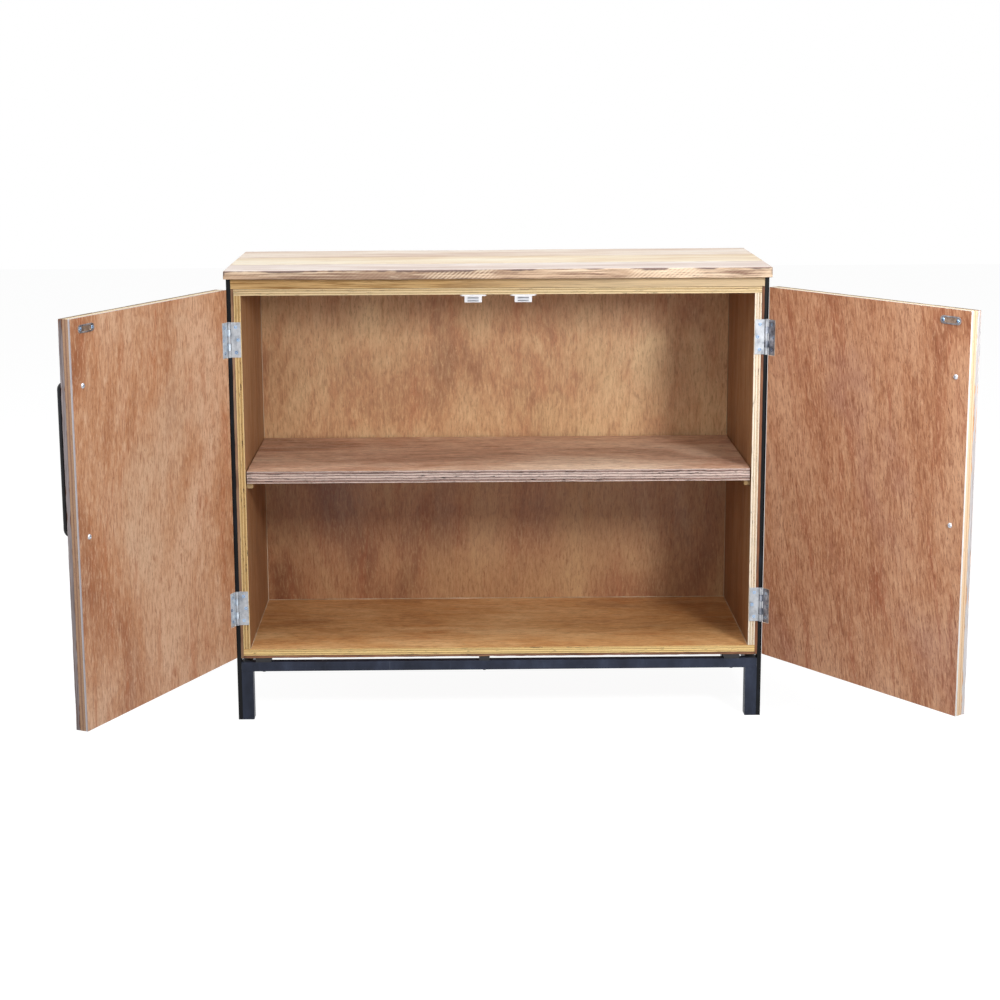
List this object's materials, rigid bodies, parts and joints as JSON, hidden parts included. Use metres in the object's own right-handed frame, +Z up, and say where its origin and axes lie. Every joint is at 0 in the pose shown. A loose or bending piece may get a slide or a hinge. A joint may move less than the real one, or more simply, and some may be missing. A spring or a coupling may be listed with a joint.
{
  "type": "sideboard",
  "caption": "Free-standing sideboard with a plank top, plywood box and shelf on an iron leg frame, closed by a pair of hinged plank-faced doors with bar handles and magnetic catches.",
  "frame": {"origin": "floor level, in the middle of the iron frame's footprint between the four legs", "axes": "+Z up; -Y is the side the doors open towards; +X to the right of a person facing the doors"},
  "size_m": [1.5355, 0.8344, 0.857],
  "materials": {
    "iron_post": "black powder coat, slightly uneven",
    "iron_rail": "dark blue-grey coated iron, semi-matt, brushed streaks",
    "handle_iron": "black iron, semi-matt",
    "black_plastic": "black moulded plug",
    "black_screw": "blackened screw",
    "zinc": "bright zinc plate",
    "strike_steel": "dull plated steel",
    "dark_steel": "dull steel pole plate",
    "magnet": "sintered ferrite magnet",
    "white_plastic": "white moulded plastic",
    "top_wood": "pale washed reclaimed board, open grain, worn edges",
    "batten_wood": "plain sawn yellowish batten",
    "box_ply": "plywood, warm brown face, pale layered edge",
    "floor_ply": "plywood, orange-brown face, pale layered edge",
    "back_ply": "plywood, reddish-brown vertical grain",
    "cladding_wood": "thin reclaimed boards, reddish brown",
    "shelf_ply": "plywood, pale face, weathered grey layered edge",
    "cleat_wood": "plain pale batten",
    "door_skin": "thin plywood skin, warm tan, mottled vertical grain",
    "door_core": "tan blockboard core",
    "facing_wood": "weathered reclaimed planks, grey-brown"
  },
  "bodies": {
    "cabinet": {"post_front_left": "iron_post", "post_front_right": "iron_post", "post_back_left": "iron_post", "post_back_right": "iron_post", "leg_front_left": "iron_rail", "leg_front_right": "iron_rail", "leg_back_left": "iron_rail", "leg_back_right": "iron_rail", "rail_front": "iron_rail", "rail_back": "iron_rail", "rail_left": "iron_rail", "rail_right": "iron_rail", "spacer_tabs": "iron_post", "leg_plugs": "black_plastic", "frame_screws": "black_screw", "post_screws": "black_screw", "floor_panel": "floor_ply", "ceiling_panel": "box_ply", "side_panel_left": "box_ply", "side_panel_right": "box_ply", "bottom_cladding": "cladding_wood", "side_cladding_left": "cladding_wood", "side_cladding_right": "cladding_wood", "back_panel": "back_ply", "back_panel_nails": "zinc", "batten_front": "batten_wood", "batten_back": "batten_wood", "battens_end": "batten_wood", "top_board_front": "top_wood", "top_board_middle": "top_wood", "top_board_back": "top_wood", "top_screws": "zinc", "shelf": "shelf_ply", "shelf_cleat_left": "cleat_wood", "shelf_cleat_right": "cleat_wood", "cleat_screws": "zinc", "catch_bodies": "white_plastic", "catch_plates": "dark_steel", "catch_magnets": "magnet", "catch_screws": "zinc", "frame_leaves_left": "zinc", "frame_leaves_right": "zinc", "frame_leaf_screws": "zinc", "hinge_pins": "zinc"},
    "left_door": {"door_skin_left": "door_skin", "door_core_left": "door_core", "door_facing_left": "facing_wood", "door_leaves_left": "zinc", "door_screws_left": "zinc", "strike_left": "strike_steel", "handle_left": "handle_iron", "handle_screws_left": "zinc"},
    "right_door": {"door_skin_right": "door_skin", "door_core_right": "door_core", "door_facing_right": "facing_wood", "door_leaves_right": "zinc", "door_screws_right": "zinc", "strike_right": "strike_steel", "handle_right": "handle_iron", "handle_screws_right": "zinc"}
  },
  "joints": [
    {"name": "left_door_hinge", "type": "hinge", "parent": "cabinet", "child": "left_door", "pos_m": [-0.4942, -0.1953, 0.472], "axis": [0, 0, -1], "range_deg": [-114.7, 60]},
    {"name": "right_door_hinge", "type": "hinge", "parent": "cabinet", "child": "right_door", "pos_m": [0.4942, -0.1953, 0.472], "axis": [0, 0, 1], "range_deg": [-124.5, 50]}
  ]
}
